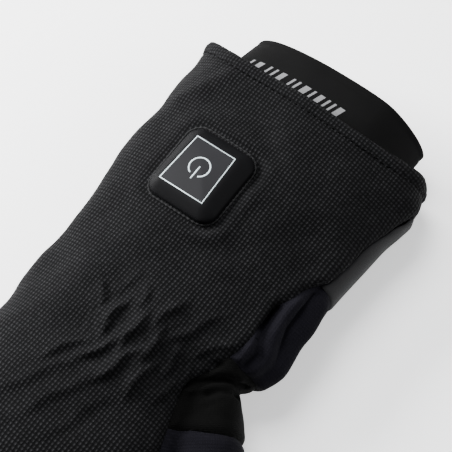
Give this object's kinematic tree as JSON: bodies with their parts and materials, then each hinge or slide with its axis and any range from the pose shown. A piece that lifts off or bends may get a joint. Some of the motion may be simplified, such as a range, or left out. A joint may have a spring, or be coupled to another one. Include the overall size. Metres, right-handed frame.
{
  "type": "heated glove",
  "caption": "Right-hand heated glove with a long knit gauntlet, an elastic inner cuff, a grey side tab and a square power button.",
  "frame": {"origin": "on the floor under the middle of the glove's box, as it lies palm down", "axes": "+Y towards the fingertips, +Z out of the back of the hand, thumb on the -X side"},
  "size_m": [0.1418, 0.312, 0.0458],
  "materials": {
    "knit_black": "waffle knit, matte",
    "fleece_navy": "brushed softshell, matte",
    "stretch_black": "fine stretch knit, matte",
    "webbing_black": "elastic webbing, satin",
    "tape_grey": "satin tape",
    "silicone_black": "satin",
    "face_grey": "matte"
  },
  "bodies": {
    "root": {"back_panel": "knit_black", "palm_panel": "fleece_navy", "side_gusset": "fleece_navy", "finger_side_strip": "stretch_black", "thumb_base": "stretch_black", "thumb_cover": "fleece_navy", "cuff_band": "webbing_black", "cuff_tab": "tape_grey", "button_housing": "silicone_black", "button_face": "face_grey", "button_frame": "knit_black"}
  },
  "joints": []
}
